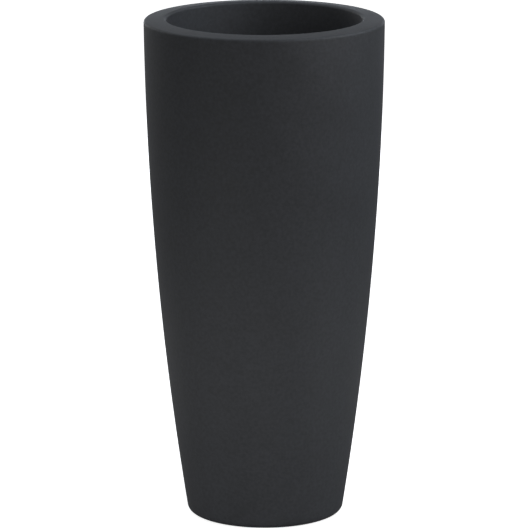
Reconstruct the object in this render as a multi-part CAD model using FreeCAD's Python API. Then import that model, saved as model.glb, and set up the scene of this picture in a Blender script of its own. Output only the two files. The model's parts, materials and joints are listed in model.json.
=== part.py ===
import FreeCAD, Part
import math
import os

# Tall round floor planter with a lift-out planting insert that keeps a reserve of water.
# Lengths are millimetres. +Z is up and the origin is the middle of the foot ring, on the floor.

# Shell: the form that is seen
SHELL_HEIGHT = 700.0        # floor to the inner edge of the rim, before it is rounded
RIM_RADIUS = 166.0          # outer edge of the rim
FOOT_RADIUS = 108.0         # where the curve of the wall would meet the floor
WALL_BULGE = 12.9           # how far the curve of the wall stands off its chord
RIM_WIDTH = 30.8            # outer edge of the rim to the mouth
RIM_FALL = 2.4              # the rim drops this much outwards, so that rain runs off it
RIM_EDGE_ROUND = 4.0
MOUTH_EDGE_ROUND = 4.0
FOOT_ROUND = 9.5

# Shell: the moulding behind that form
SHELL_WALL = 5.0
MOUTH_DEPTH = 70.0          # top of the rim to the ledge
MOUTH_DRAFT_DEG = 1.5       # the mouth narrows downwards, to free the mould
LEDGE_WIDTH = 12.0          # what is left of the skin across the mouth after trimming
SEAT_ROUND = 3.0            # corner between mouth and ledge
FLOOR_ROUND = 6.0           # inside corner between wall and floor
SKIN_ROUND = 2.0            # other corners on the hidden side of the skin
FOOT_RING_WIDTH = 16.0      # flat part of the ring that stands on the floor
BASE_DISH = 8.0             # the underside is raised this much inside the ring
BASE_SLOPE_DEG = 45.0
DISH_ROUND = 3.0            # corners of the raised underside
DRAIN_RADIUS = 12.0
DRAIN_COLLAR_RADIUS = 21.0
DRAIN_COLLAR_HEIGHT = 14.0  # from the raised underside up

# All small mouldings
EDGE_ROUND = 0.8            # broken edges

# Drain plug and its ring seal
PLUG_CLEARANCE = 0.1
PLUG_FLANGE_RADIUS = 18.0
PLUG_FLANGE = 2.5
PLUG_LEAD = 2.0             # tapered nose that stands above the collar
GRIP_LENGTH = 26.0
GRIP_THICKNESS = 4.0
GRIP_DEPTH = 4.0
SEAL_THICKNESS = 2.4
SEAL_CLEARANCE = 0.05

# Planting insert
INSERT_CLEARANCE = 1.5      # insert to the edge of the ledge
FLANGE_CLEARANCE = 1.0      # flange to the mouth
INSERT_DEPTH = 250.0        # below the ledge
INSERT_DRAFT_DEG = 3.5
INSERT_WALL = 2.5
INSERT_FLOOR = 3.0
INSERT_OUTER_ROUND = 7.0
INSERT_INNER_ROUND = 4.0
FLANGE_THICKNESS = 3.0
LIP_HEIGHT = 12.0           # outer lip of the flange, above the ledge
LIP_ROUND = 1.0
OVERFLOW_RADIUS = 4.0
OVERFLOW_HEIGHT = 50.0      # above the floor of the insert
OVERFLOW_ANGLES_DEG = (135.0, 225.0)

# Folding handles, which lie in the tray between the insert's wall and the lip
HANDLE_SPREAD_DEG = 42.0    # middle of a handle to its end, seen from above
HANDLE_WIDTH = 7.0
HANDLE_THICKNESS = 5.0
HANDLE_ROUND = 1.5
HANDLE_REST_GAP = 0.3       # handle to the tray
HANDLE_SIDE_GAP = 0.5       # end of the handle to its lug
BARREL_LENGTH = 7.0
PIN_RADIUS = 2.0
PIN_CLEARANCE = 0.3
LUG_THICKNESS = 4.5
LUG_WIDTH = 9.0

# Water reserve: false floor and the hollow feet that carry it
RESERVE_HEIGHT = 60.0       # floor of the insert to the underside of the plate
PLATE_THICKNESS = 3.0
PLATE_CLEARANCE = 1.0
PLATE_EDGE_DEPTH = 8.0
PLATE_EDGE = 2.5
PLATE_RIB_ANGLES_DEG = (45.0, 135.0)
PLATE_RIB_DEPTH = 3.5       # stiffening ribs across the underside of the plate
PLATE_RIB_THICKNESS = 2.0
OUTER_SLOTS = 30
OUTER_SLOT_LENGTH = 15.0
OUTER_SLOT_MARGIN = 6.0     # edge of the plate to the slots
INNER_SLOTS = 12
INNER_SLOT_START = 14.0
INNER_SLOT_LENGTH = 22.0
SLOT_WIDTH = 4.0
SLOT_LAND = 3.0             # least web between a slot and a hole
WICK_ANGLES_DEG = (90.0, 180.0, 270.0)
WICK_CIRCLE = 58.0          # middle of the plate to the middle of a foot
WICK_SPIGOT_RADIUS = 16.0
WICK_TOE_RADIUS = 11.5
WICK_WALL = 2.0
WICK_SHOULDER = 3.0         # width and depth of the shoulder under the plate
WICK_CLEARANCE = 0.2
WICK_WINDOWS = 6
WICK_WINDOW_WIDTH = 3.0
WICK_WINDOW_START = 8.0
WICK_WINDOW_HEIGHT = 34.0

# Water gauge
TUBE_RADIUS = 11.0
TUBE_WALL = 1.5
TUBE_WALL_GAP = 5.0         # tube to the insert's wall at the floor
TUBE_DROP = 30.0            # ledge down to the top of the tube
TUBE_LAND = 2.0             # top plate of the tube, which guides the stem
TUBE_COLLAR = 3.0           # width and depth of the collar under the plate
TUBE_CLEARANCE = 0.3
TUBE_WINDOWS = 4
TUBE_WINDOW_WIDTH = 4.0
TUBE_WINDOW_HEIGHT = 22.0
STRAINER_FLANGE = 2.0
STRAINER_SPIGOT = 5.0
STRAINER_CLEARANCE = 0.1
STRAINER_HOLE_RADIUS = 4.0
FLOAT_CLEARANCE = 0.8
FLOAT_HEIGHT = 30.0
FLOAT_ROUND = 1.5
FLOAT_TRAVEL = 36.0
STEM_RADIUS = 1.5
STEM_CLEARANCE = 0.3
STEM_SOCKET = 8.0
SOCKET_CLEARANCE = 0.05
TIP_RADIUS = 5.0
TIP_HEIGHT = 8.0
TIP_ROUND = 2.0
TIP_SOCKET = 5.0
TIP_REST_GAP = 1.5
CAP_WALL = 1.5
CAP_SKIRT = 12.0
CAP_CLEARANCE = 0.15
CAP_DOME_RADIUS = 8.5       # inside of the clear dome

# Allowances of the construction itself
OVERRUN = 1.0               # cutters run this far past a face
MATCH = 0.001               # how near an edge must be to count as the one meant

# Places that follow from the sizes above
MOUTH_RADIUS = RIM_RADIUS - RIM_WIDTH
LEDGE_TOP = SHELL_HEIGHT - MOUTH_DEPTH
SEAT_RADIUS = MOUTH_RADIUS - MOUTH_DEPTH * math.tan(math.radians(MOUTH_DRAFT_DEG))
LEDGE_RADIUS = SEAT_RADIUS - LEDGE_WIDTH
INSERT_RADIUS = LEDGE_RADIUS - INSERT_CLEARANCE
FLANGE_RADIUS = SEAT_RADIUS - FLANGE_CLEARANCE
FLANGE_TOP = LEDGE_TOP + FLANGE_THICKNESS
INSERT_BOTTOM = LEDGE_TOP - INSERT_DEPTH
FLOOR_TOP = INSERT_BOTTOM + INSERT_FLOOR
PLATE_BOTTOM = FLOOR_TOP + RESERVE_HEIGHT
PLATE_TOP = PLATE_BOTTOM + PLATE_THICKNESS
TRAY_INNER = INSERT_RADIUS - INSERT_WALL
TRAY_OUTER = FLANGE_RADIUS - INSERT_WALL
HANDLE_RADIUS = (TRAY_INNER + TRAY_OUTER) / 2
PIVOT_X = HANDLE_RADIUS * math.sin(math.radians(HANDLE_SPREAD_DEG))
PIVOT_Y = HANDLE_RADIUS * math.cos(math.radians(HANDLE_SPREAD_DEG))
PIVOT_Z = FLANGE_TOP + HANDLE_REST_GAP + HANDLE_THICKNESS / 2
TUBE_INNER = TUBE_RADIUS - TUBE_WALL
TUBE_TOP = LEDGE_TOP - TUBE_DROP
FLOAT_BOTTOM = FLOOR_TOP + STRAINER_FLANGE + STRAINER_SPIGOT
TIP_BOTTOM = TUBE_TOP + TIP_REST_GAP

ORIGIN = FreeCAD.Vector(0, 0, 0)
UP = FreeCAD.Vector(0, 0, 1)
ALONG_X = FreeCAD.Vector(1, 0, 0)
FULL_TURN_DEG = 360.0
HALF_TURN_DEG = 180.0


def insert_outer(height):
    """Outer radius of the insert's drafted wall at a height."""
    return INSERT_RADIUS - (LEDGE_TOP - height) * math.tan(math.radians(INSERT_DRAFT_DEG))


def insert_inner(height):
    """Inner radius of the insert's drafted wall at a height."""
    return insert_outer(height) - INSERT_WALL


TUBE_X = insert_inner(FLOOR_TOP) - TUBE_WALL_GAP - TUBE_RADIUS


class WallCurve:
    """The arc that the shell's wall follows, in the half-plane of radius and height."""

    def __init__(self, foot_radius, top_radius, top_height, bulge):
        run = top_radius - foot_radius
        chord = math.hypot(run, top_height)
        self.radius = ((chord / 2) ** 2 + bulge ** 2) / (2 * bulge)
        reach = self.radius - bulge
        self.centre_r = (foot_radius + top_radius) / 2 - reach * top_height / chord
        self.centre_z = top_height / 2 + reach * run / chord

    def at(self, height, inset=0.0):
        """Point of the curve at a height, or of the parallel curve inside it."""
        rise = height - self.centre_z
        reach = math.sqrt((self.radius - inset) ** 2 - rise ** 2)
        return self.centre_r + reach, height


class Section:
    """An outline of radius and height, drawn edge by edge and then turned about Z."""

    def __init__(self, radius, height):
        self.start = (radius, height)
        self.here = self.start
        self.edges = []

    @staticmethod
    def place(radius, height):
        return FreeCAD.Vector(radius, 0, height)

    def line(self, radius, height):
        """Draws a straight edge to a point."""
        edge = Part.LineSegment(self.place(*self.here), self.place(radius, height))
        self.edges.append(edge.toShape())
        self.here = (radius, height)

    def arc(self, through, end):
        """Draws an arc through one point to another."""
        edge = Part.Arc(self.place(*self.here), self.place(*through), self.place(*end))
        self.edges.append(edge.toShape())
        self.here = end

    def turned(self):
        """Closes the outline and returns the solid of its full turn."""
        self.line(*self.start)
        face = Part.Face(Part.Wire(self.edges))
        return face.revolve(ORIGIN, UP, FULL_TURN_DEG)


def round_rings(solid, round_radius, *rings):
    """Rounds the circular edges about Z that have a given radius and height."""
    def is_meant(edge):
        if edge.Degenerated or not isinstance(edge.Curve, Part.Circle):
            return False
        curve = edge.Curve
        return any(abs(curve.Radius - radius) < MATCH and abs(curve.Center.z - height) < MATCH
                   for radius, height in rings)

    return solid.makeFillet(round_radius, [edge for edge in solid.Edges if is_meant(edge)])


def cylinder(radius, bottom, top, x=0.0, y=0.0):
    """An upright cylinder between two heights."""
    return Part.makeCylinder(radius, top - bottom, FreeCAD.Vector(x, y, bottom), UP)


def block(x_range, y_range, z_range):
    """A box between pairs of limits."""
    corner = FreeCAD.Vector(x_range[0], y_range[0], z_range[0])
    sides = [limits[1] - limits[0] for limits in (x_range, y_range, z_range)]
    return Part.makeBox(*sides, corner)


def turned_copy(solid, angle_deg):
    """A copy of a solid, turned about Z."""
    copy = solid.copy()
    copy.rotate(ORIGIN, UP, angle_deg)
    return copy


def moved_copy(solid, x, y, z):
    """A copy of a solid, moved."""
    copy = solid.copy()
    copy.translate(FreeCAD.Vector(x, y, z))
    return copy


def ring_of(solid, count):
    """Copies of a solid, evenly spread about Z."""
    return [turned_copy(solid, FULL_TURN_DEG * step / count) for step in range(count)]


def outer_shell():
    """Shell of even thickness whose rim turns back down into a mouth with a ledge."""
    rim_edge = SHELL_HEIGHT - RIM_FALL
    wall = WallCurve(FOOT_RADIUS, RIM_RADIUS, rim_edge, WALL_BULGE)
    ring_inner = FOOT_RADIUS - FOOT_ROUND - FOOT_RING_WIDTH
    dish_edge = ring_inner - BASE_DISH / math.tan(math.radians(BASE_SLOPE_DEG))
    skin_shift = SHELL_WALL * math.tan(math.radians(BASE_SLOPE_DEG / 2))
    rim_slope = RIM_FALL / RIM_WIDTH
    skirt_back = SHELL_HEIGHT - SHELL_WALL - rim_slope * SHELL_WALL
    under_rim = SHELL_HEIGHT - SHELL_WALL - rim_slope * (RIM_WIDTH - SHELL_WALL)

    section = Section(DRAIN_RADIUS, BASE_DISH)
    section.line(dish_edge, BASE_DISH)
    section.line(ring_inner, 0)
    section.line(FOOT_RADIUS, 0)
    section.arc(wall.at(rim_edge / 2), wall.at(rim_edge))
    section.line(MOUTH_RADIUS, SHELL_HEIGHT)
    section.line(SEAT_RADIUS, LEDGE_TOP)
    section.line(LEDGE_RADIUS, LEDGE_TOP)
    section.line(LEDGE_RADIUS, LEDGE_TOP - SHELL_WALL)
    section.line(SEAT_RADIUS + SHELL_WALL, LEDGE_TOP - SHELL_WALL)
    section.line(MOUTH_RADIUS + SHELL_WALL, skirt_back)
    section.line(*wall.at(under_rim, SHELL_WALL))
    section.arc(wall.at(under_rim / 2, SHELL_WALL), wall.at(SHELL_WALL, SHELL_WALL))
    section.line(ring_inner + skin_shift, SHELL_WALL)
    section.line(dish_edge + skin_shift, BASE_DISH + SHELL_WALL)
    section.line(DRAIN_COLLAR_RADIUS, BASE_DISH + SHELL_WALL)
    section.line(DRAIN_COLLAR_RADIUS, BASE_DISH + DRAIN_COLLAR_HEIGHT)
    section.line(DRAIN_RADIUS, BASE_DISH + DRAIN_COLLAR_HEIGHT)
    shell = section.turned()

    shell = round_rings(shell, FOOT_ROUND, (FOOT_RADIUS, 0))
    shell = round_rings(shell, FLOOR_ROUND, wall.at(SHELL_WALL, SHELL_WALL))
    shell = round_rings(shell, RIM_EDGE_ROUND, (RIM_RADIUS, rim_edge))
    shell = round_rings(shell, MOUTH_EDGE_ROUND, (MOUTH_RADIUS, SHELL_HEIGHT))
    shell = round_rings(shell, SEAT_ROUND, (SEAT_RADIUS, LEDGE_TOP))
    shell = round_rings(shell, SEAT_ROUND + SHELL_WALL, (SEAT_RADIUS + SHELL_WALL, LEDGE_TOP - SHELL_WALL))
    shell = round_rings(shell, SKIN_ROUND, (MOUTH_RADIUS + SHELL_WALL, skirt_back),
                        wall.at(under_rim, SHELL_WALL), (DRAIN_COLLAR_RADIUS, BASE_DISH + SHELL_WALL))
    shell = round_rings(shell, EDGE_ROUND, (DRAIN_COLLAR_RADIUS, BASE_DISH + DRAIN_COLLAR_HEIGHT))
    return round_rings(shell, DISH_ROUND, (dish_edge, BASE_DISH), (ring_inner, 0),
                       (ring_inner + skin_shift, SHELL_WALL),
                       (dish_edge + skin_shift, BASE_DISH + SHELL_WALL))


def seal_groove():
    """Middle height of the seal's groove, the radius of its floor and its half width."""
    height = BASE_DISH + DRAIN_COLLAR_HEIGHT / 2
    floor = DRAIN_RADIUS - SEAL_THICKNESS - 2 * SEAL_CLEARANCE
    return height, floor, SEAL_THICKNESS / 2 + SEAL_CLEARANCE


def drain_plug():
    """Push-in plug with a flange under the floor, a grip bar and a groove for the seal."""
    shank = DRAIN_RADIUS - PLUG_CLEARANCE
    collar_top = BASE_DISH + DRAIN_COLLAR_HEIGHT
    flange_bottom = BASE_DISH - PLUG_FLANGE
    groove, groove_floor, half_width = seal_groove()

    section = Section(0, flange_bottom)
    section.line(PLUG_FLANGE_RADIUS, flange_bottom)
    section.line(PLUG_FLANGE_RADIUS, BASE_DISH)
    section.line(shank, BASE_DISH)
    section.line(shank, groove - half_width)
    section.line(groove_floor, groove - half_width)
    section.line(groove_floor, groove + half_width)
    section.line(shank, groove + half_width)
    section.line(shank, collar_top)
    section.line(shank - PLUG_LEAD, collar_top + PLUG_LEAD)
    section.line(0, collar_top + PLUG_LEAD)
    body = round_rings(section.turned(), EDGE_ROUND, (PLUG_FLANGE_RADIUS, flange_bottom))
    grip = block((-GRIP_LENGTH / 2, GRIP_LENGTH / 2),
                 (-GRIP_THICKNESS / 2, GRIP_THICKNESS / 2),
                 (flange_bottom - GRIP_DEPTH, flange_bottom))
    free_edges = [edge for edge in grip.Edges if edge.CenterOfMass.z < flange_bottom - MATCH]
    return body.fuse(grip.makeFillet(EDGE_ROUND, free_edges)).removeSplitter()


def drain_seal():
    """Ring seal that fills the groove of the drain plug."""
    height = seal_groove()[0]
    section_radius = SEAL_THICKNESS / 2
    ring_radius = DRAIN_RADIUS - SEAL_CLEARANCE - section_radius
    return Part.makeTorus(ring_radius, section_radius, FreeCAD.Vector(0, 0, height), UP)


def handle_lug(side):
    """Lug in the tray that carries one pin of the rear handle, on the side of +X or -X."""
    near = PIVOT_X + HANDLE_SIDE_GAP
    half = LUG_WIDTH / 2
    across = sorted((side * near, side * (near + LUG_THICKNESS)))
    start = FreeCAD.Vector(across[0], PIVOT_Y, PIVOT_Z)
    foot = block(across, (PIVOT_Y - half, PIVOT_Y + half), (LEDGE_TOP, PIVOT_Z))
    head = Part.makeCylinder(half, LUG_THICKNESS, start, ALONG_X)
    bore_start = start - ALONG_X * OVERRUN
    bore = Part.makeCylinder(PIN_RADIUS + PIN_CLEARANCE, LUG_THICKNESS + 2 * OVERRUN,
                             bore_start, ALONG_X)
    within = cylinder(FLANGE_RADIUS - INSERT_WALL / 2, LEDGE_TOP, PIVOT_Z + half)
    return foot.fuse(head).cut(bore).common(within)


def planting_insert():
    """Tapered pot with a tray flange, lugs for the handles and overflow holes."""
    section = Section(0, INSERT_BOTTOM)
    section.line(insert_outer(INSERT_BOTTOM), INSERT_BOTTOM)
    section.line(INSERT_RADIUS, LEDGE_TOP)
    section.line(FLANGE_RADIUS, LEDGE_TOP)
    section.line(FLANGE_RADIUS, LEDGE_TOP + LIP_HEIGHT)
    section.line(TRAY_OUTER, LEDGE_TOP + LIP_HEIGHT)
    section.line(TRAY_OUTER, FLANGE_TOP)
    section.line(TRAY_INNER, FLANGE_TOP)
    section.line(insert_inner(FLOOR_TOP), FLOOR_TOP)
    section.line(0, FLOOR_TOP)
    pot = section.turned()
    pot = round_rings(pot, INSERT_OUTER_ROUND, (insert_outer(INSERT_BOTTOM), INSERT_BOTTOM))
    pot = round_rings(pot, INSERT_INNER_ROUND, (insert_inner(FLOOR_TOP), FLOOR_TOP))
    pot = round_rings(pot, SEAT_ROUND, (FLANGE_RADIUS, LEDGE_TOP))
    pot = round_rings(pot, LIP_ROUND, (FLANGE_RADIUS, LEDGE_TOP + LIP_HEIGHT),
                      (TRAY_OUTER, LEDGE_TOP + LIP_HEIGHT), (TRAY_INNER, FLANGE_TOP))

    rear_lugs = [handle_lug(side) for side in (-1, 1)]
    front_lugs = [turned_copy(lug, HALF_TURN_DEG) for lug in rear_lugs]
    height = FLOOR_TOP + OVERFLOW_HEIGHT
    drill = Part.makeCylinder(OVERFLOW_RADIUS, INSERT_RADIUS, FreeCAD.Vector(0, 0, height), ALONG_X)
    drills = [turned_copy(drill, angle) for angle in OVERFLOW_ANGLES_DEG]
    return pot.fuse(rear_lugs + front_lugs).cut(drills).removeSplitter()


def rear_lift_handle():
    """Curved grip that lies in the tray, with a barrel and a pin at each end."""
    half_width = HANDLE_WIDTH / 2
    half_thick = HANDLE_THICKNESS / 2
    inner, outer = HANDLE_RADIUS - half_width, HANDLE_RADIUS + half_width
    low, high = PIVOT_Z - half_thick, PIVOT_Z + half_thick
    section = Section(inner, low)
    section.line(outer, low)
    section.line(outer, high)
    section.line(inner, high)
    hoop = section.turned()
    hoop = round_rings(hoop, HANDLE_ROUND, (inner, low), (outer, low), (inner, high), (outer, high))

    handle = hoop.common(block((-PIVOT_X, PIVOT_X), (PIVOT_Y, outer), (low, high)))
    pin_length = HANDLE_SIDE_GAP + LUG_THICKNESS
    for side in (-1, 1):
        along = ALONG_X * side
        end = FreeCAD.Vector(side * PIVOT_X, PIVOT_Y, PIVOT_Z)
        barrel = Part.makeCylinder(half_thick, BARREL_LENGTH, end, ALONG_X * -side)
        pin = Part.makeCylinder(PIN_RADIUS, BARREL_LENGTH + pin_length,
                                end - along * BARREL_LENGTH, along)
        handle = handle.fuse([barrel, pin])
    return handle.removeSplitter()


def front_lift_handle():
    """The other handle, half a turn about Z from the first."""
    return turned_copy(rear_lift_handle(), HALF_TURN_DEG)


def radial_slot(start, length):
    """Cutter for a round-ended slot of the plate that points away from the middle."""
    half = SLOT_WIDTH / 2
    low, high = PLATE_BOTTOM - OVERRUN, PLATE_TOP + OVERRUN
    middle = block((start + half, start + length - half), (-half, half), (low, high))
    ends = [cylinder(half, low, high, start + half), cylinder(half, low, high, start + length - half)]
    return middle.fuse(ends)


def wick_places():
    """Middle of each hollow foot, seen from above."""
    angles = [math.radians(angle) for angle in WICK_ANGLES_DEG]
    return [(WICK_CIRCLE * math.cos(angle), WICK_CIRCLE * math.sin(angle)) for angle in angles]


def separator_plate():
    """Slotted false floor, ribbed below, with an edge turned down and holes for feet and tube."""
    edge_bottom = PLATE_BOTTOM - PLATE_EDGE_DEPTH
    radius = insert_inner(edge_bottom) - PLATE_CLEARANCE
    section = Section(0, PLATE_BOTTOM)
    section.line(radius - PLATE_EDGE, PLATE_BOTTOM)
    section.line(radius - PLATE_EDGE, edge_bottom)
    section.line(radius, edge_bottom)
    section.line(radius, PLATE_TOP)
    section.line(0, PLATE_TOP)
    plate = round_rings(section.turned(), EDGE_ROUND, (radius, PLATE_TOP))
    reach = radius - PLATE_EDGE / 2
    rib = block((-reach, reach), (-PLATE_RIB_THICKNESS / 2, PLATE_RIB_THICKNESS / 2),
                (PLATE_BOTTOM - PLATE_RIB_DEPTH, PLATE_BOTTOM))
    ribs = [turned_copy(rib, angle) for angle in PLATE_RIB_ANGLES_DEG]

    low, high = PLATE_BOTTOM - OVERRUN, PLATE_TOP + OVERRUN
    holes = [cylinder(WICK_SPIGOT_RADIUS + WICK_CLEARANCE, low, high, x, y) for x, y in wick_places()]
    holes.append(cylinder(TUBE_RADIUS + TUBE_CLEARANCE, low, high, TUBE_X))
    outer_start = radius - OUTER_SLOT_MARGIN - OUTER_SLOT_LENGTH
    slots = ring_of(radial_slot(outer_start, OUTER_SLOT_LENGTH), OUTER_SLOTS)
    slots += ring_of(radial_slot(INNER_SLOT_START, INNER_SLOT_LENGTH), INNER_SLOTS)
    free = [slot for slot in slots if all(slot.distToShape(hole)[0] > SLOT_LAND for hole in holes)]
    return plate.fuse(ribs).cut(holes + free).removeSplitter()


def wick_foot():
    """Hollow foot about Z whose shoulder carries the plate and whose windows let water in."""
    shoulder_bottom = PLATE_BOTTOM - WICK_SHOULDER
    shoulder = WICK_SPIGOT_RADIUS + WICK_SHOULDER
    section = Section(0, FLOOR_TOP)
    section.line(WICK_TOE_RADIUS, FLOOR_TOP)
    section.line(WICK_SPIGOT_RADIUS, shoulder_bottom)
    section.line(shoulder, shoulder_bottom)
    section.line(shoulder, PLATE_BOTTOM)
    section.line(WICK_SPIGOT_RADIUS, PLATE_BOTTOM)
    section.line(WICK_SPIGOT_RADIUS, PLATE_TOP)
    section.line(WICK_SPIGOT_RADIUS - WICK_WALL, PLATE_TOP)
    section.line(WICK_SPIGOT_RADIUS - WICK_WALL, shoulder_bottom)
    section.line(WICK_TOE_RADIUS - WICK_WALL, FLOOR_TOP + WICK_WALL)
    section.line(0, FLOOR_TOP + WICK_WALL)
    start = FLOOR_TOP + WICK_WINDOW_START
    window = block((0, shoulder), (-WICK_WINDOW_WIDTH / 2, WICK_WINDOW_WIDTH / 2),
                   (start, start + WICK_WINDOW_HEIGHT))
    foot = round_rings(section.turned(), EDGE_ROUND, (WICK_TOE_RADIUS, FLOOR_TOP),
                       (shoulder, shoulder_bottom))
    return foot.cut(ring_of(window, WICK_WINDOWS))


def wick_feet():
    """The hollow feet under the plate."""
    foot = wick_foot()
    return Part.makeCompound([moved_copy(foot, x, y, 0) for x, y in wick_places()])


def gauge_tube():
    """Tube of the water gauge, with a collar under the plate and a guide for the stem."""
    foot = FLOOR_TOP + STRAINER_FLANGE
    guide = STEM_RADIUS + STEM_CLEARANCE
    section = Section(TUBE_INNER, foot)
    section.line(TUBE_RADIUS, foot)
    section.line(TUBE_RADIUS, PLATE_BOTTOM - TUBE_COLLAR)
    section.line(TUBE_RADIUS + TUBE_COLLAR, PLATE_BOTTOM - TUBE_COLLAR)
    section.line(TUBE_RADIUS + TUBE_COLLAR, PLATE_BOTTOM)
    section.line(TUBE_RADIUS, PLATE_BOTTOM)
    section.line(TUBE_RADIUS, TUBE_TOP)
    section.line(guide, TUBE_TOP)
    section.line(guide, TUBE_TOP - TUBE_LAND)
    section.line(TUBE_INNER, TUBE_TOP - TUBE_LAND)
    window = block((0, TUBE_RADIUS + OVERRUN), (-TUBE_WINDOW_WIDTH / 2, TUBE_WINDOW_WIDTH / 2),
                   (FLOAT_BOTTOM, FLOAT_BOTTOM + TUBE_WINDOW_HEIGHT))
    tube = section.turned().cut(ring_of(window, TUBE_WINDOWS))
    return moved_copy(tube, TUBE_X, 0, 0)


def gauge_strainer():
    """Plug with a hole that closes the foot of the tube and keeps the float in."""
    flange_top = FLOOR_TOP + STRAINER_FLANGE
    spigot = TUBE_INNER - STRAINER_CLEARANCE
    section = Section(STRAINER_HOLE_RADIUS, FLOOR_TOP)
    section.line(TUBE_RADIUS, FLOOR_TOP)
    section.line(TUBE_RADIUS, flange_top)
    section.line(spigot, flange_top)
    section.line(spigot, FLOAT_BOTTOM)
    section.line(STRAINER_HOLE_RADIUS, FLOAT_BOTTOM)
    return moved_copy(section.turned(), TUBE_X, 0, 0)


def gauge_float():
    """Float with a socket for the stem, resting on the strainer while the reserve is empty."""
    radius = TUBE_INNER - FLOAT_CLEARANCE
    top = FLOAT_BOTTOM + FLOAT_HEIGHT
    body = cylinder(radius, FLOAT_BOTTOM, top)
    body = round_rings(body, FLOAT_ROUND, (radius, FLOAT_BOTTOM), (radius, top))
    socket = cylinder(STEM_RADIUS + SOCKET_CLEARANCE, top - STEM_SOCKET, top + OVERRUN)
    return moved_copy(body.cut(socket), TUBE_X, 0, 0)


def float_stem():
    """Rod from the float up through the guide into the tip."""
    bottom = FLOAT_BOTTOM + FLOAT_HEIGHT - STEM_SOCKET
    return cylinder(STEM_RADIUS, bottom, TIP_BOTTOM + TIP_SOCKET, TUBE_X)


def indicator_tip():
    """Tip on the rod that is seen through the clear cap."""
    body = cylinder(TIP_RADIUS, TIP_BOTTOM, TIP_BOTTOM + TIP_HEIGHT)
    body = round_rings(body, TIP_ROUND, (TIP_RADIUS, TIP_BOTTOM + TIP_HEIGHT))
    socket = cylinder(STEM_RADIUS + SOCKET_CLEARANCE, TIP_BOTTOM - OVERRUN, TIP_BOTTOM + TIP_SOCKET)
    return moved_copy(body.cut(socket), TUBE_X, 0, 0)


def gauge_cap():
    """Clear cap that slips over the tube and whose dome leaves the tip its travel."""
    skirt_inner = TUBE_RADIUS + CAP_CLEARANCE
    skirt_outer = skirt_inner + CAP_WALL
    dome_outer = CAP_DOME_RADIUS + CAP_WALL
    spring = TIP_BOTTOM + FLOAT_TRAVEL + TIP_HEIGHT
    slant = math.sqrt(1 / 2)

    section = Section(skirt_inner, TUBE_TOP - CAP_SKIRT)
    section.line(skirt_outer, TUBE_TOP - CAP_SKIRT)
    section.line(skirt_outer, TUBE_TOP + CAP_WALL)
    section.line(dome_outer, TUBE_TOP + CAP_WALL)
    section.line(dome_outer, spring)
    section.arc((dome_outer * slant, spring + dome_outer * slant), (0, spring + dome_outer))
    section.line(0, spring + CAP_DOME_RADIUS)
    section.arc((CAP_DOME_RADIUS * slant, spring + CAP_DOME_RADIUS * slant),
                (CAP_DOME_RADIUS, spring))
    section.line(CAP_DOME_RADIUS, TUBE_TOP)
    section.line(skirt_inner, TUBE_TOP)
    cap = round_rings(section.turned(), EDGE_ROUND, (skirt_outer, TUBE_TOP + CAP_WALL))
    return moved_copy(cap, TUBE_X, 0, 0)


PIECES = (
    outer_shell,
    drain_plug,
    drain_seal,
    planting_insert,
    rear_lift_handle,
    front_lift_handle,
    separator_plate,
    wick_feet,
    gauge_tube,
    gauge_strainer,
    gauge_float,
    float_stem,
    indicator_tip,
    gauge_cap,
)


def main():
    """Builds each piece and writes it under its own name."""
    os.makedirs("parts", exist_ok=True)
    for piece in PIECES:
        piece().exportStep(f"parts/{piece.__name__}.step")


if __name__ == "__main__":
    main()
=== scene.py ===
"""Dresses the tall round planter and sets it in a pale studio, seen as in the photograph."""
import json
import logging
import math
from dataclasses import dataclass
from enum import Enum
from typing import Any

import bmesh
import bpy
from mathutils import Matrix, Vector

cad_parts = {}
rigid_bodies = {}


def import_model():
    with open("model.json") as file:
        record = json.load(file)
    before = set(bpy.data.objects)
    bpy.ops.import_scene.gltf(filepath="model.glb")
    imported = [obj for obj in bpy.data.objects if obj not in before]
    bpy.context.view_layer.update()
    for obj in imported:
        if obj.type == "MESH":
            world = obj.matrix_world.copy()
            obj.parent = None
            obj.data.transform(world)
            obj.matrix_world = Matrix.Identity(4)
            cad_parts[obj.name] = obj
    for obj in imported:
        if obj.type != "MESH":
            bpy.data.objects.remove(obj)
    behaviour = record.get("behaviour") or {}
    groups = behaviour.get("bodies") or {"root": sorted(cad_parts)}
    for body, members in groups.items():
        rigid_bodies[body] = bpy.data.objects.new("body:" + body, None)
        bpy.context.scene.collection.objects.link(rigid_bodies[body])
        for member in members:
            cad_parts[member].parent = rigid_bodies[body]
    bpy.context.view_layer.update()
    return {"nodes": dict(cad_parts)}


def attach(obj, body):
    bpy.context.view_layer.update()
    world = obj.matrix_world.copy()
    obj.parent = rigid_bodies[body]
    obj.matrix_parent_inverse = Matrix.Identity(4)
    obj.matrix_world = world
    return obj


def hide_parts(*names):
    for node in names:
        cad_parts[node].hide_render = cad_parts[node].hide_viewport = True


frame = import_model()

MM = 0.001
SHARP_ANGLE = math.radians(34)
PURE_WHITE = "ffffff"
# Nearly all values of a noise texture lie between these.
NOISE_LOW, NOISE_HIGH = 0.3, 0.7
# A Mix node has sockets of one name for several kinds of data, so those for colours go by number.
MIX_FACTOR, MIX_FIRST, MIX_SECOND, MIX_RESULT = 0, 6, 7, 2
LOG = logging.getLogger("planter")


def linear(colour: str) -> tuple[float, float, float, float]:
    """Turns an sRGB hex colour into linear values.

    Args:
        colour: Six hex digits, such as "3a3d41".

    Returns:
        Red, green, blue and full alpha.
    """
    shares = [int(colour[place:place + 2], 16) / 255 for place in (0, 2, 4)]
    return (*[s / 12.92 if s <= 0.04045 else ((s + 0.055) / 1.055) ** 2.4 for s in shares], 1.0)


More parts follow.
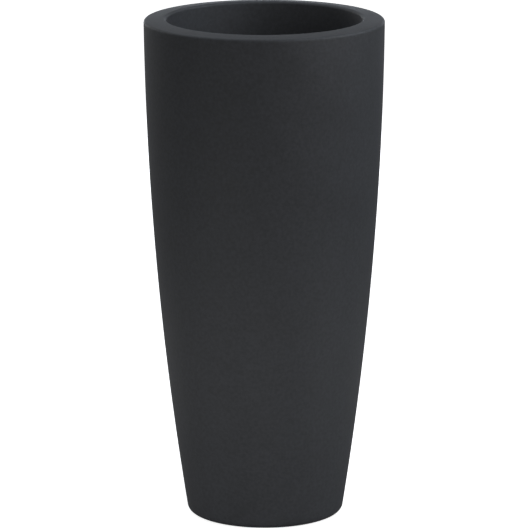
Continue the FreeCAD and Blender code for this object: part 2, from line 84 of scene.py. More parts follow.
def add_node(tree: bpy.types.NodeTree, kind: str, inputs: dict[str | int, Any] | None = None,
             **options: Any) -> bpy.types.Node:
    """Adds a node to a tree with its options, values and links.

    Args:
        tree: Shader or geometry node tree.
        kind: Blender's name for the kind of node.
        inputs: Socket name or number to a value, or to the output that feeds it.
        options: Properties of the node itself.

    Returns:
        The new node.
    """
    node = tree.nodes.new(kind)
    for name, value in options.items():
        setattr(node, name, value)
    for key, value in (inputs or {}).items():
        if isinstance(value, bpy.types.NodeSocket):
            tree.links.new(value, node.inputs[key])
        else:
            node.inputs[key].default_value = value
    return node


class Grain(Enum):
    """What stands on a surface, with the levels of finer detail in it."""

    ORANGE_PEEL = 2.0
    FINE_MATT = 5.0
    CLOSED_CELL = 0.0


class Side(Enum):
    """Side of the planter, with the direction that it lies in, as an angle about Z."""

    REAR = math.radians(90)
    FRONT = math.radians(270)


@dataclass(frozen=True)
class Finish:
    """What a piece is made of and how its surface was made."""

    name: str
    colour: str
    roughness: float

    def material(self) -> bpy.types.Material:
        """Builds the material the first time it is asked for.

        Returns:
            The one material of this name.
        """
        made = bpy.data.materials.get(self.name)
        if made:
            return made
        made = bpy.data.materials.new(self.name)
        made.use_nodes = True
        tree = made.node_tree
        tree.nodes.clear()
        place = add_node(tree, "ShaderNodeTexCoord").outputs["Object"]
        shader = self.surface(tree, place)
        add_node(tree, "ShaderNodeOutputMaterial", {"Surface": shader.outputs["BSDF"]})
        return made

    def surface(self, tree: bpy.types.NodeTree, place: bpy.types.NodeSocket) -> bpy.types.Node:
        """Adds the nodes of the surface, in each kind of finish."""
        raise NotImplementedError


@dataclass(frozen=True)
class MouldedPlastic(Finish):
    """Opaque plastic or rubber: coloured right through, faintly cloudy and grained."""

    grain: Grain
    grain_mm: float
    grain_depth_mm: float
    # Share of painted shade in the pits of the grain, and of painted light on its tops.
    grain_painted_shade_share: float = 0.05
    cloud_mm: float = 30.0
    cloud_share: float = 0.06
    cloud_detail: float = 5.0
    cloud_roughness: float = 0.68
    gloss_spread: float = 0.04
    ior: float = 1.5

    def surface(self, tree: bpy.types.NodeTree, place: bpy.types.NodeSocket) -> bpy.types.Node:
        """Adds pigment clouds, the grain with painted shade in its pits and painted light on its tops, and
        an uneven gloss.

        Args:
            tree: The material's nodes.
            place: Coordinates on the piece.

        Returns:
            The shader.
        """
        base = linear(self.colour)[:3]
        dark = [value * (1 - self.cloud_share) for value in base]
        light = [value * (1 + self.cloud_share) for value in base]
        cloud = add_node(tree, "ShaderNodeTexNoise",
                         {"Vector": place, "Scale": 1 / (self.cloud_mm * MM), "Detail": self.cloud_detail,
                          "Roughness": self.cloud_roughness}).outputs["Fac"]
        pigment = add_node(tree, "ShaderNodeMix",
                           {MIX_FACTOR: cloud, MIX_FIRST: (*dark, 1.0), MIX_SECOND: (*light, 1.0)},
                           data_type="RGBA")
        height = self._relief(tree, place)
        # Painted shade and light: the pits of the grain are darkened in the colour and its tops lightened,
        # as if the pits held less light.
        shade = add_node(tree, "ShaderNodeMapRange",
                         {"Value": height, "From Min": NOISE_LOW, "From Max": NOISE_HIGH,
                          "To Min": 1 - self.grain_painted_shade_share, "To Max": 1 + self.grain_painted_shade_share})
        tint = add_node(tree, "ShaderNodeVectorMath",
                        {0: pigment.outputs[MIX_RESULT], "Scale": shade.outputs["Result"]},
                        operation="SCALE")
        gloss = add_node(tree, "ShaderNodeMapRange",
                         {"Value": cloud, "From Min": NOISE_LOW, "From Max": NOISE_HIGH,
                          "To Min": self.roughness - self.gloss_spread,
                          "To Max": self.roughness + self.gloss_spread})
        bump = add_node(tree, "ShaderNodeBump", {"Height": height, "Distance": self.grain_depth_mm * MM})
        return add_node(tree, "ShaderNodeBsdfPrincipled",
                        {"Base Color": tint.outputs["Vector"], "Roughness": gloss.outputs["Result"],
                         "IOR": self.ior, "Normal": bump.outputs["Normal"]})

    def _relief(self, tree: bpy.types.NodeTree, place: bpy.types.NodeSocket) -> bpy.types.NodeSocket:
        """Adds the height pattern of the grain.

        Args:
            tree: The material's nodes.
            place: Coordinates on the piece.

        Returns:
            The output that carries the height.
        """
        scale = 1 / (self.grain_mm * MM)
        if self.grain is Grain.CLOSED_CELL:
            cells = add_node(tree, "ShaderNodeTexVoronoi", {"Vector": place, "Scale": scale})
            return cells.outputs["Distance"]
        bumps = add_node(tree, "ShaderNodeTexNoise",
                         {"Vector": place, "Scale": scale, "Detail": self.grain.value})
        return bumps.outputs["Fac"]


@dataclass(frozen=True)
class ClearPlastic(Finish):
    """Clear moulded plastic: smooth, with a trace of haze."""

    roughness: float = 0.06
    haze_mm: float = 4.0
    haze_share: float = 0.4
    haze_detail: float = 3.0
    ior: float = 1.58

    def surface(self, tree: bpy.types.NodeTree, place: bpy.types.NodeSocket) -> bpy.types.Node:
        """Adds a clear body whose gloss is uneven where it is hazy.

        Args:
            tree: The material's nodes.
            place: Coordinates on the piece.

        Returns:
            The shader.
        """
        haze = add_node(tree, "ShaderNodeTexNoise",
                        {"Vector": place, "Scale": 1 / (self.haze_mm * MM), "Detail": self.haze_detail})
        gloss = add_node(tree, "ShaderNodeMapRange",
                         {"Value": haze.outputs["Fac"], "To Min": self.roughness * (1 - self.haze_share),
                          "To Max": self.roughness * (1 + self.haze_share)})
        return add_node(tree, "ShaderNodeBsdfPrincipled",
                        {"Base Color": linear(self.colour), "Roughness": gloss.outputs["Result"],
                         "IOR": self.ior, "Transmission Weight": 1.0})


# Powder that melted on the wall of a turning mould: a satin skin with a soft orange peel, and a
# pigment that lies in faint clouds, with painted shade in the peel's pits and painted light on its tops.
# The real peel is 1 to 2 mm wide, and is drawn at over 4 mm so that it shows at this distance.
SHELL_FINISH = MouldedPlastic("rotomoulded_polyethylene_anthracite", "3a3c40", 0.62, Grain.ORANGE_PEEL,
                              grain_mm=4.4, grain_depth_mm=0.12, grain_painted_shade_share=0.14,
                              cloud_mm=60.0, cloud_share=0.24, ior=1.51)
# Injected against a spark-eroded mould: an even fine matt grain under a waxy sheen. A fine matt grain is
# about 0.1 mm wide, and is drawn at 0.4 to 1.1 mm on this and the pieces that follow, so that it shows.
INSERT_FINISH = MouldedPlastic("injection_moulded_polypropylene_black", "2b2d30", 0.42, Grain.FINE_MATT,
                               grain_mm=0.9, grain_depth_mm=0.02)
# A paler pigment, so that the grips stand out from the tray that they lie in.
HANDLE_FINISH = MouldedPlastic("injection_moulded_polypropylene_grey", "5a5d61", 0.4, Grain.FINE_MATT,
                               grain_mm=0.7, grain_depth_mm=0.02)
# The same grain on a flat plate, a little duller than the wall round it.
PLATE_FINISH = MouldedPlastic("injection_moulded_polypropylene_slate", "484c50", 0.5, Grain.FINE_MATT,
                              grain_mm=0.8, grain_depth_mm=0.02)
# Drawn through a die and left bare: pale, smooth and slightly waxy.
TUBE_FINISH = MouldedPlastic("extruded_polypropylene_pale_grey", "c4c7c5", 0.38, Grain.FINE_MATT,
                             grain_mm=1.1, grain_depth_mm=0.01)
# Foamed and cut to length: a dull skin of small closed bubbles.
FLOAT_FINISH = MouldedPlastic("closed_cell_polyethylene_foam_white", "e2e0d8", 0.75, Grain.CLOSED_CELL,
                              grain_mm=0.9, grain_depth_mm=0.08)
# Glass fibre drawn through resin: a smooth off-white rod with a hard gleam.
STEM_FINISH = MouldedPlastic("pultruded_polyester_rod_white", "dedcd5", 0.3, Grain.FINE_MATT,
                             grain_mm=0.6, grain_depth_mm=0.005, ior=1.55)
# Moulded in a polished tool: glossy signal red.
TIP_FINISH = MouldedPlastic("moulded_polystyrene_red", "b3201a", 0.22, Grain.ORANGE_PEEL,
                            grain_mm=1.5, grain_depth_mm=0.005, ior=1.59)
# Soft polyethylene from a spark-eroded mould: black and dull.
PLUG_FINISH = MouldedPlastic("injection_moulded_polyethylene_black", "1c1d1e", 0.45, Grain.FINE_MATT,
                             grain_mm=0.8, grain_depth_mm=0.02, ior=1.51)
# Pressed rubber: almost black, with a soft dull sheen.
SEAL_FINISH = MouldedPlastic("nitrile_rubber_black", "141414", 0.62, Grain.FINE_MATT,
                             grain_mm=0.4, grain_depth_mm=0.01, ior=1.52)
# Moulded in a polished tool: glass-clear, with a breath of haze where it has been wiped.
CAP_FINISH = ClearPlastic("moulded_polycarbonate_clear", "f2f6f5")


class Outline:
    """Corners of a turned piece's section, as radius, height and rounding."""

    ROUND = "corner_round"

    def __init__(self) -> None:
        """Starts with no corner."""
        self.corners: list[tuple[float, float, float]] = []

    def corner(self, radius: float, height: float, rounding: float = 0.0) -> None:
        """Adds a corner."""
        self.corners.append((radius, height, rounding))

    def mesh(self, name: str) -> bpy.types.Mesh:
        """Makes a closed loop of edges that carries each corner's rounding.

        Args:
            name: Name of the mesh.

        Returns:
            The loop, in the plane of X and Z.
        """
        count = len(self.corners)
        loop = bpy.data.meshes.new(name)
        points = [(radius, 0.0, height) for radius, height, _ in self.corners]
        loop.from_pydata(points, [(place, (place + 1) % count) for place in range(count)], [])
        rounds = loop.attributes.new(self.ROUND, "FLOAT", "POINT")
        rounds.data.foreach_set("value", [rounding for _, _, rounding in self.corners])
        return loop


class NodesForm:
    """A Geometry Nodes tree that makes a piece from a start mesh and a few sizes."""

    label = ""
    sizes: tuple[tuple[str, str], ...] = ()

    def __init__(self) -> None:
        """Makes the tree with its named inputs and fills it."""
        self.tree = bpy.data.node_groups.new(self.label, "GeometryNodeTree")
        face = self.tree.interface
        face.new_socket("Start", in_out="INPUT", socket_type="NodeSocketGeometry")
        self.ids = {name: face.new_socket(name, in_out="INPUT", socket_type=f"NodeSocket{kind}").identifier
                    for name, kind in (*self.sizes, ("Finish", "Material"))}
        face.new_socket("Piece", in_out="OUTPUT", socket_type="NodeSocketGeometry")
        entry = add_node(self.tree, "NodeGroupInput").outputs
        real = add_node(self.tree, "GeometryNodeRealizeInstances", {"Geometry": self.shape(entry)})
        dressed = add_node(self.tree, "GeometryNodeSetMaterial",
                           {"Geometry": real.outputs["Geometry"], "Material": entry["Finish"]})
        add_node(self.tree, "NodeGroupOutput", {"Piece": dressed.outputs["Geometry"]})

    def shape(self, entry: bpy.types.NodeOutputs) -> bpy.types.NodeSocket:
        """Adds the nodes that shape the piece, in each kind of form."""
        raise NotImplementedError

    def run(self, name: str, start: bpy.types.Mesh, finish: Finish, **values: float) -> bpy.types.Object:
        """Runs the tree and keeps the result as a plain mesh.

        Args:
            name: Name of the new piece.
            start: Mesh that the tree starts from.
            finish: Finish of the piece.
            values: The tree's sizes, by input name in lower case.

        Returns:
            An object at the origin, with no modifier on it.
        """
        # A start mesh with no material would leave an empty slot in front of the finish.
        start.materials.append(finish.material())
        source = bpy.data.objects.new(name + "_source", start)
        bpy.context.scene.collection.objects.link(source)
        modifier = source.modifiers.new("nodes", "NODES")
        modifier.node_group = self.tree
        modifier[self.ids["Finish"]] = finish.material()
        for label, _ in self.sizes:
            modifier[self.ids[label]] = values[label.lower().replace(" ", "_")]
        graph = bpy.context.evaluated_depsgraph_get()
        mesh = bpy.data.meshes.new_from_object(source.evaluated_get(graph), depsgraph=graph)
        mesh.name = name
        source.modifiers.remove(modifier)
        bpy.data.objects.remove(source)
        piece = bpy.data.objects.new(name, mesh)
        bpy.context.scene.collection.objects.link(piece)
        return piece


class TurnedForm(NodesForm):
    """Rounds the corners of an outline and turns it about Z."""

    label = "turned_form"
    sizes = (("Segments", "Int"), ("Round Steps", "Int"), ("Sharp Angle", "Float"))
    rail_radius = 1.0
    weld = 0.001 * MM

    def shape(self, entry: bpy.types.NodeOutputs) -> bpy.types.NodeSocket:
        """Rounds the outline, sweeps it along a circle and marks the sharp edges.

        Args:
            entry: The tree's inputs.

        Returns:
            The output that carries the turned mesh.
        """
        tree = self.tree
        rounds = add_node(tree, "GeometryNodeInputNamedAttribute", {"Name": Outline.ROUND},
                          data_type="FLOAT")
        curve = add_node(tree, "GeometryNodeMeshToCurve", {"Mesh": entry["Start"]})
        rounded = add_node(tree, "GeometryNodeFilletCurve",
                           {"Curve": curve.outputs["Curve"], "Radius": rounds.outputs["Attribute"],
                            "Count": entry["Round Steps"], "Limit Radius": True}, mode="POLY")
        here = add_node(tree, "GeometryNodeInputPosition").outputs["Position"]
        place = add_node(tree, "ShaderNodeSeparateXYZ", {"Vector": here}).outputs
        offset = add_node(tree, "ShaderNodeMath", {0: place["X"], 1: self.rail_radius},
                          operation="SUBTRACT")
        drop = add_node(tree, "ShaderNodeMath", {0: 0.0, 1: place["Z"]}, operation="SUBTRACT")
        flat = add_node(tree, "ShaderNodeCombineXYZ",
                        {"X": offset.outputs["Value"], "Y": drop.outputs["Value"]})
        section = add_node(tree, "GeometryNodeSetPosition",
                           {"Geometry": rounded.outputs["Curve"], "Position": flat.outputs["Vector"]})
        rail = add_node(tree, "GeometryNodeCurvePrimitiveCircle",
                        {"Resolution": entry["Segments"], "Radius": self.rail_radius})
        swept = add_node(tree, "GeometryNodeCurveToMesh",
                         {"Curve": rail.outputs["Curve"], "Profile Curve": section.outputs["Geometry"]})
        outward = add_node(tree, "GeometryNodeFlipFaces", {"Mesh": swept.outputs["Mesh"]})
        welded = add_node(tree, "GeometryNodeMergeByDistance",
                          {"Geometry": outward.outputs["Mesh"], "Distance": self.weld})
        smooth = add_node(tree, "GeometryNodeSetShadeSmooth", {"Geometry": welded.outputs["Geometry"]})
        angle = add_node(tree, "GeometryNodeInputMeshEdgeAngle")
        sharp = add_node(tree, "FunctionNodeCompare",
                         {0: angle.outputs["Unsigned Angle"], 1: entry["Sharp Angle"]},
                         data_type="FLOAT", operation="GREATER_THAN")
        edged = add_node(tree, "GeometryNodeSetShadeSmooth",
                         {"Geometry": smooth.outputs["Geometry"], "Selection": sharp.outputs["Result"],
                          "Shade Smooth": False}, domain="EDGE")
        return edged.outputs["Geometry"]


class RibRow(NodesForm):
    """Sets copies of one rib along an arc about Z, each pointing away from the axis."""

    label = "rib_row"
    sizes = (("Count", "Int"), ("Radius", "Float"), ("Start Angle", "Float"), ("Sweep Angle", "Float"),
             ("Height", "Float"))
    arc_steps = 64

    def shape(self, entry: bpy.types.NodeOutputs) -> bpy.types.NodeSocket:
        """Draws the arc, spaces points along it and sets a rib on each.

        Args:
            entry: The tree's inputs.

        Returns:
            The output that carries the row of ribs.
        """
        tree = self.tree
        arc = add_node(tree, "GeometryNodeCurveArc",
                       {"Resolution": self.arc_steps, "Radius": entry["Radius"],
                        "Start Angle": entry["Start Angle"], "Sweep Angle": entry["Sweep Angle"]},
                       mode="RADIUS")
        spots = add_node(tree, "GeometryNodeCurveToPoints",
                         {"Curve": arc.outputs["Curve"], "Count": entry["Count"]}, mode="COUNT")
        lift = add_node(tree, "ShaderNodeCombineXYZ", {"Z": entry["Height"]})
        raised = add_node(tree, "GeometryNodeSetPosition",
                          {"Geometry": spots.outputs["Points"], "Offset": lift.outputs["Vector"]})
        here = add_node(tree, "GeometryNodeInputPosition").outputs["Position"]
        place = add_node(tree, "ShaderNodeSeparateXYZ", {"Vector": here}).outputs
        polar = add_node(tree, "ShaderNodeMath", {0: place["Y"], 1: place["X"]}, operation="ARCTAN2")
        turn = add_node(tree, "ShaderNodeCombineXYZ", {"Z": polar.outputs["Value"]})
        ribs = add_node(tree, "GeometryNodeInstanceOnPoints",
                        {"Points": raised.outputs["Geometry"], "Instance": entry["Start"],
                         "Rotation": turn.outputs["Vector"]})
        smooth = add_node(tree, "GeometryNodeSetShadeSmooth", {"Geometry": ribs.outputs["Instances"]})
        return smooth.outputs["Geometry"]


def cover(finish: Finish, *nodes: str) -> None:
    """Gives CAD nodes their material.

    Args:
        finish: The finish that they share.
        nodes: Their names.
    """
    for node in nodes:
        mesh = frame["nodes"][node].data
        mesh.materials.clear()
        mesh.materials.append(finish.material())
        LOG.info("dressed %s in %s", node, finish.name)


def carry(piece: bpy.types.Object, body: str) -> None:
    """Makes a new piece move with a body, and logs it.

    Args:
        piece: The piece.
        body: Body that carries it.
    """
    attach(piece, body)
    LOG.info("built %s on %s, %d faces", piece.name, body, len(piece.data.polygons))


@dataclass
class Shell:
    """Outer shell with a broad rim that turns back down into the mouth."""

    height: float = 0.700
    rim_radius: float = 0.166
    foot_radius: float = 0.108
    wall_bulge: float = 0.0129
    rim_width: float = 0.0308
    rim_fall: float = 0.0024
    rim_edge_round: float = 0.004
    mouth_edge_round: float = 0.004
    foot_round: float = 0.0095
    wall: float = 0.005
    mouth_depth: float = 0.070
    mouth_draft: float = math.radians(1.5)
    ledge_width: float = 0.012
    seat_round: float = 0.003
    floor_round: float = 0.006
    skin_round: float = 0.002
    dish_round: float = 0.003
    edge_round: float = 0.0008
    trim_round: float = 0.0004
    ring_width: float = 0.016
    base_dish: float = 0.008
    dish_slope: float = math.radians(45)
    drain_radius: float = 0.012
    collar_radius: float = 0.021
    collar_height: float = 0.014
    wall_steps: int = 48
    segments: int = 256
    round_steps: int = 10

    def dress(self) -> None:
        """Gives the CAD shell its finish."""
        cover(SHELL_FINISH, "outer_shell")

    def wall_radius(self, height: float, inset: float = 0.0) -> float:
        """Radius of the wall's arc at a height.

        Args:
            height: Height above the floor.
            inset: Distance inside the outer face.

        Returns:
            The radius there.
        """
        top = self.height - self.rim_fall
        run = self.rim_radius - self.foot_radius
        chord = math.hypot(run, top)
        arc = ((chord / 2) ** 2 + self.wall_bulge ** 2) / (2 * self.wall_bulge)
        reach = arc - self.wall_bulge
        middle_r = (self.foot_radius + self.rim_radius) / 2 - reach * top / chord
        middle_z = top / 2 + reach * run / chord
        return middle_r + math.sqrt((arc - inset) ** 2 - (height - middle_z) ** 2)

    def outline(self) -> Outline:
        """Draws the section, from the drain out over the foot, wall, rim and mouth and back inside.

        Returns:
            The closed outline.
        """
        line = Outline()
        top = self.height - self.rim_fall
        mouth = self.rim_radius - self.rim_width
        ledge_top = self.height - self.mouth_depth
        seat = mouth - self.mouth_depth * math.tan(self.mouth_draft)
        ring_inner = self.foot_radius - self.foot_round - self.ring_width
        dish_edge = ring_inner - self.base_dish / math.tan(self.dish_slope)
        shift = self.wall * math.tan(self.dish_slope / 2)
        slope = self.rim_fall / self.rim_width
        under_rim = self.height - self.wall - slope * (self.rim_width - self.wall)

        line.corner(self.drain_radius, self.base_dish)
        line.corner(dish_edge, self.base_dish, self.dish_round)
        line.corner(ring_inner, 0.0, self.dish_round)
        line.corner(self.foot_radius, 0.0, self.foot_round)
        # The wall's arc keeps clear of the roundings at its two ends, and so does its inner face below.
        low, high = 2 * self.foot_round, top - 2 * self.rim_edge_round
        for step in range(self.wall_steps + 1):
            height = low + (high - low) * step / self.wall_steps
            line.corner(self.wall_radius(height), height)
        line.corner(self.rim_radius, top, self.rim_edge_round)
        line.corner(mouth, self.height, self.mouth_edge_round)
        line.corner(seat, ledge_top, self.seat_round)
        line.corner(seat - self.ledge_width, ledge_top, self.trim_round)
        line.corner(seat - self.ledge_width, ledge_top - self.wall, self.trim_round)
        line.corner(seat + self.wall, ledge_top - self.wall, self.seat_round + self.wall)
        line.corner(mouth + self.wall, self.height - self.wall - slope * self.wall, self.skin_round)
        line.corner(self.wall_radius(under_rim, self.wall), under_rim, self.skin_round)
        low = 3 * self.floor_round
        for step in range(1, self.wall_steps):
            height = under_rim + (low - under_rim) * step / self.wall_steps
            line.corner(self.wall_radius(height, self.wall), height)
        line.corner(self.wall_radius(self.wall, self.wall), self.wall, self.floor_round)
        line.corner(ring_inner + shift, self.wall, self.dish_round)
        line.corner(dish_edge + shift, self.base_dish + self.wall, self.dish_round)
        line.corner(self.collar_radius, self.base_dish + self.wall, self.skin_round)
        line.corner(self.collar_radius, self.base_dish + self.collar_height, self.edge_round)
        line.corner(self.drain_radius, self.base_dish + self.collar_height)
        return line

    def build(self, lathe: TurnedForm) -> None:
        """Turns the shell and puts it in the place of its CAD node.

        Args:
            lathe: Tree that turns an outline.
        """
        piece = lathe.run("shell_moulding", self.outline().mesh("shell_outline"), SHELL_FINISH,
                          segments=self.segments, round_steps=self.round_steps, sharp_angle=SHARP_ANGLE)
        carry(piece, "shell")
        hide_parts("outer_shell")


@dataclass
class PlantingInsert:
    """Hanging pot and its two folding handles, whose grips are ribbed."""

    handle_radius: float = 0.12362
    handle_top: float = 0.6383
    rib_count: int = 31
    rib_sweep: float = math.radians(34)
    rib_length: float = 0.0050
    rib_width: float = 0.0013
    rib_height: float = 0.0005
    rib_sides: int = 8
    # Places along the rib, as shares of half its length, with the share of its full section there.
    rib_taper: tuple[tuple[float, float], ...] = ((-1.0, 0.35), (-0.9, 0.75), (-0.7, 1.0),
                                                  (0.7, 1.0), (0.9, 0.75), (1.0, 0.35))

    def dress(self) -> None:
        """Gives the pot and its handles their finishes."""
        cover(INSERT_FINISH, "planting_insert")
        cover(HANDLE_FINISH, "rear_lift_handle", "front_lift_handle")

    def rib(self, name: str) -> bpy.types.Mesh:
        """Lofts one rib along X, half sunk at the origin, with tapered ends.

        Args:
            name: Name of the mesh.

        Returns:
            The closed rib.
        """
        shaper = bmesh.new()
        rings = []
        turns = [2 * math.pi * side / self.rib_sides for side in range(self.rib_sides)]
        for along, scale in self.rib_taper:
            rings.append([shaper.verts.new((along * self.rib_length / 2,
                                            math.cos(turn) * scale * self.rib_width / 2,
                                            math.sin(turn) * scale * self.rib_height)) for turn in turns])
        for ring, following in zip(rings, rings[1:]):
            for side in range(self.rib_sides):
                after = (side + 1) % self.rib_sides
                shaper.faces.new((ring[side], ring[after], following[after], following[side]))
        shaper.faces.new(rings[0])
        shaper.faces.new(rings[-1])
        bmesh.ops.recalc_face_normals(shaper, faces=shaper.faces)
        mesh = bpy.data.meshes.new(name)
        shaper.to_mesh(mesh)
        shaper.free()
        return mesh

    def build(self, row: RibRow) -> None:
        """Sets the grip ribs on the handles.

        Args:
            row: Tree that sets ribs along an arc.
        """
        for side in Side:
            name = f"{side.name.lower()}_grip_ribs"
            piece = row.run(name, self.rib(name + "_one"), HANDLE_FINISH, count=self.rib_count,
                            radius=self.handle_radius, start_angle=side.value - self.rib_sweep / 2,
                            sweep_angle=self.rib_sweep, height=self.handle_top)
            carry(piece, f"{side.name.lower()}_handle")


@dataclass
class FalseFloor:
    """Slotted plate on hollow feet, which keeps the soil above the water."""

    plate_finish: Finish = PLATE_FINISH

    def dress(self) -> None:
        """Gives the plate and its feet their finish."""
        cover(self.plate_finish, "separator_plate", "wick_feet")


@dataclass
class WaterGauge:
    """Tube with a float, a rod with a red tip, and a clear cap with raised level rings."""

    tube_x: float = 0.08626
    dome_radius: float = 0.010
    ring_levels: tuple[float, ...] = (0.6095, 0.6235, 0.6375)
    ring_width: float = 0.0009
    ring_proud: float = 0.0003
    ring_sunk: float = 0.0002
    ring_round: float = 0.0002
    ring_segments: int = 64
    ring_round_steps: int = 3

    def dress(self) -> None:
        """Gives the pieces of the gauge their finishes."""
        cover(TUBE_FINISH, "gauge_tube")
        cover(PLUG_FINISH, "gauge_strainer")
        cover(FLOAT_FINISH, "gauge_float")
        cover(STEM_FINISH, "float_stem")
        cover(TIP_FINISH, "indicator_tip")
        cover(CAP_FINISH, "gauge_cap")

    def level_ring(self, level: float) -> Outline:
        """Draws the section of one level ring.

        Args:
            level: Height of its middle.

        Returns:
            The closed outline.
        """
        line = Outline()
        inner = self.dome_radius - self.ring_sunk
        outer = self.dome_radius + self.ring_proud
        low, high = level - self.ring_width / 2, level + self.ring_width / 2
        line.corner(inner, low)
        line.corner(outer, low, self.ring_round)
        line.corner(outer, high, self.ring_round)
        line.corner(inner, high)
        return line

    def build(self, lathe: TurnedForm) -> None:
        """Sets the level rings on the gauge's cap.

        Args:
            lathe: Tree that turns an outline.
        """
        for number, level in enumerate(self.ring_levels, start=1):
            name = f"cap_level_ring_{number}"
            piece = lathe.run(name, self.level_ring(level).mesh(name + "_outline"), CAP_FINISH,
                              segments=self.ring_segments, round_steps=self.ring_round_steps,
                              sharp_angle=SHARP_ANGLE)
            piece.data.transform(Matrix.Translation((self.tube_x, 0.0, 0.0)))
            carry(piece, "cap")


@dataclass
class Drain:
    """Push-in plug of the drain and its ring seal."""

    plug_finish: Finish = PLUG_FINISH
    seal_finish: Finish = SEAL_FINISH

    def dress(self) -> None:
        """Gives the plug and the seal their finishes."""
        cover(self.plug_finish, "drain_plug")
        cover(self.seal_finish, "drain_seal")


# Tints of the lights that aren't pure white: slightly blue as a bright sky, and slightly warm as a lamp.
SKY_WHITE = "ebf5ff"
LAMP_WHITE = "fff8f3"


@dataclass(frozen=True)
class SoftLight:
    """A square or oblong softbox, aimed at a point."""

    name: str
    place: tuple[float, float, float]
    target: tuple[float, float, float]
    width: float
    height: float
    power: float
    colour: str = PURE_WHITE

    def build(self) -> None:
        """Adds the light to the scene, out of the camera's sight."""
        data = bpy.data.lights.new(self.name, "AREA")
        data.shape = "RECTANGLE"
        data.size = self.width
        data.size_y = self.height
        data.energy = self.power
        data.color = linear(self.colour)[:3]
        lamp = bpy.data.objects.new(self.name, data)
        lamp.location = self.place
        aim = Vector(self.target) - Vector(self.place)
        lamp.rotation_euler = aim.to_track_quat("-Z", "Y").to_euler()
        lamp.visible_camera = False
        bpy.context.scene.collection.objects.link(lamp)


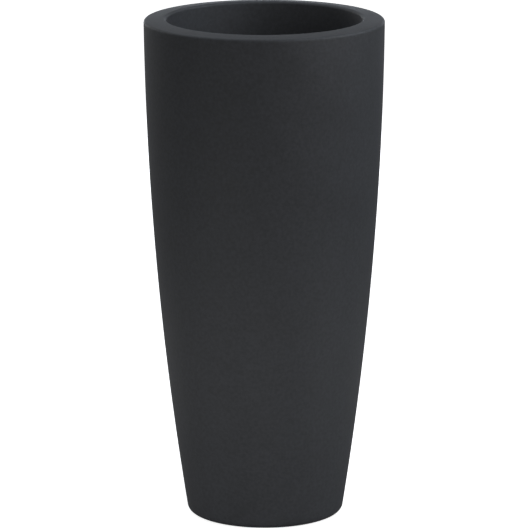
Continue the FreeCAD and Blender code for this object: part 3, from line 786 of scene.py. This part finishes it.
@dataclass
class Studio:
    """White paper sweep, soft light and the camera of the photograph."""

    floor_half: float = 25.0
    floor_drop: float = 0.0003
    dome_radius: float = 24.0
    dome_segments: int = 48
    dome_rings: int = 24
    paper_colour: str = "f4f4f4"
    paper_roughness: float = 0.9
    paper_glow: float = 0.85
    sky_above: float = 0.28
    sky_below: float = 0.122
    sky_blend: float = 0.05
    camera_place: tuple[float, float, float] = (-0.00095, -5.908, 1.7088)
    pitch: float = math.radians(12.931)
    roll: float = math.radians(-0.115)
    lens: float = 296.9
    sensor: float = 36.0
    # Name, place, point aimed at, width, height, power in watts, and a tint where there is one.
    lights: tuple[SoftLight, ...] = (
        SoftLight("key_softbox", (1.8, -0.4, 2.6), (0.0, 0.0, 0.5), 2.2, 2.2, 22.0, SKY_WHITE),
        SoftLight("right_front_softbox", (2.2, -2.2, 1.4), (0.0, 0.0, 0.35), 1.0, 1.8, 4.3, LAMP_WHITE),
        SoftLight("right_top_softbox", (1.3, 0.1, 1.3), (0.0, 0.0, 0.6), 0.7, 0.7, 2.85, SKY_WHITE),
        SoftLight("right_rim_softbox", (0.357, -0.3, 0.8), (0.0, 0.0, 0.62), 0.3, 0.12, 0.173, LAMP_WHITE),
        SoftLight("left_top_softbox", (-1.0, 1.0, 2.6), (0.0, 0.0, 0.7), 0.9, 0.9, 8.3, SKY_WHITE),
        SoftLight("backdrop_light", (0.0, 3.0, 0.75), (0.0, 0.0, 0.65), 3.0, 0.5, 18.2, SKY_WHITE),
        SoftLight("left_backdrop_light", (-2.6, 3.0, 1.2), (0.0, 0.0, 0.6), 2.0, 1.2, 11.7),
        SoftLight("left_front_card", (-0.8, -0.9, 0.06), (0.0, 0.0, 0.15), 0.8, 0.3, 0.75),
        SoftLight("front_floor_card", (0.0, -0.62, 0.04), (0.0, 0.0, 0.2), 0.6, 0.16, 0.415),
        SoftLight("left_floor_card", (-0.55, -0.30, 0.04), (0.0, 0.0, 0.2), 0.5, 0.16, 0.25),
        SoftLight("right_floor_card", (0.55, -0.30, 0.04), (0.0, 0.0, 0.2), 0.5, 0.16, 0.34),
        SoftLight("left_rear_card", (-0.55, 0.25, 0.04), (0.0, 0.0, 0.2), 0.5, 0.16, 0.10),
        SoftLight("right_rear_card", (0.55, 0.25, 0.04), (0.0, 0.0, 0.2), 0.5, 0.16, 0.095),
    )

    def build(self) -> None:
        """Builds the sweep, lights, sky and camera."""
        half = self.floor_half
        floor = bpy.data.meshes.new("studio_floor")
        floor.from_pydata([(-half, -half, 0.0), (half, -half, 0.0), (half, half, 0.0), (-half, half, 0.0)],
                          [], [(0, 1, 2, 3)])
        floor.transform(Matrix.Translation((0.0, 0.0, -self.floor_drop)))
        shaper = bmesh.new()
        bmesh.ops.create_uvsphere(shaper, u_segments=self.dome_segments, v_segments=self.dome_rings,
                                  radius=self.dome_radius)
        bmesh.ops.reverse_faces(shaper, faces=shaper.faces)
        dome = bpy.data.meshes.new("studio_dome")
        shaper.to_mesh(dome)
        shaper.free()
        paper = self._paper()
        for mesh in (floor, dome):
            mesh.materials.append(paper)
            sheet = bpy.data.objects.new(mesh.name, mesh)
            # The paper is lit by itself, so it stays out of the light on the planter.
            sheet.visible_diffuse = False
            sheet.visible_glossy = False
            sheet.visible_shadow = False
            bpy.context.scene.collection.objects.link(sheet)
        for light in self.lights:
            light.build()
        self._sky()
        self._camera()

    def _paper(self) -> bpy.types.Material:
        """Makes the white paper, lit almost to white by itself.

        Returns:
            The paper of the floor and the dome.
        """
        paper = bpy.data.materials.new("seamless_white_paper")
        paper.use_nodes = True
        shader = paper.node_tree.nodes["Principled BSDF"]
        shader.inputs["Base Color"].default_value = linear(self.paper_colour)
        shader.inputs["Roughness"].default_value = self.paper_roughness
        shader.inputs["Emission Color"].default_value = linear(PURE_WHITE)
        shader.inputs["Emission Strength"].default_value = self.paper_glow
        return paper

    def _sky(self) -> None:
        """Fills the room with even light, one strength from above and one from the floor."""
        world = bpy.data.worlds.new("studio_sky")
        world.use_nodes = True
        tree = world.node_tree
        ray = add_node(tree, "ShaderNodeTexCoord").outputs["Generated"]
        upward = add_node(tree, "ShaderNodeSeparateXYZ", {"Vector": ray}).outputs["Z"]
        level = add_node(tree, "ShaderNodeMapRange",
                         {"Value": upward, "From Min": -self.sky_blend, "From Max": self.sky_blend,
                          "To Min": self.sky_below, "To Max": self.sky_above})
        back = tree.nodes["Background"]
        back.inputs["Color"].default_value = linear(PURE_WHITE)
        tree.links.new(level.outputs["Result"], back.inputs["Strength"])
        bpy.context.scene.world = world
        bpy.context.scene.view_settings.view_transform = "Standard"

    def _camera(self) -> None:
        """Sets the camera where the photograph was taken from."""
        data = bpy.data.cameras.new("photo_camera")
        data.sensor_width = self.sensor
        data.lens = self.lens
        camera = bpy.data.objects.new("photo_camera", data)
        camera.location = self.camera_place
        aim = Matrix.Rotation(math.pi / 2 - self.pitch, 3, "X") @ Matrix.Rotation(self.roll, 3, "Z")
        camera.rotation_euler = aim.to_euler()
        bpy.context.scene.collection.objects.link(camera)
        bpy.context.scene.camera = camera


def main() -> None:
    """Dresses and builds the planter's sub-assemblies and the studio."""
    logging.basicConfig(level=logging.INFO, format="%(name)s: %(message)s")
    lathe = TurnedForm()
    shell, insert, gauge = Shell(), PlantingInsert(), WaterGauge()
    for assembly in (shell, insert, FalseFloor(), gauge, Drain()):
        assembly.dress()
    shell.build(lathe)
    insert.build(RibRow())
    gauge.build(lathe)
    Studio().build()


if __name__ == "__main__":
    main()
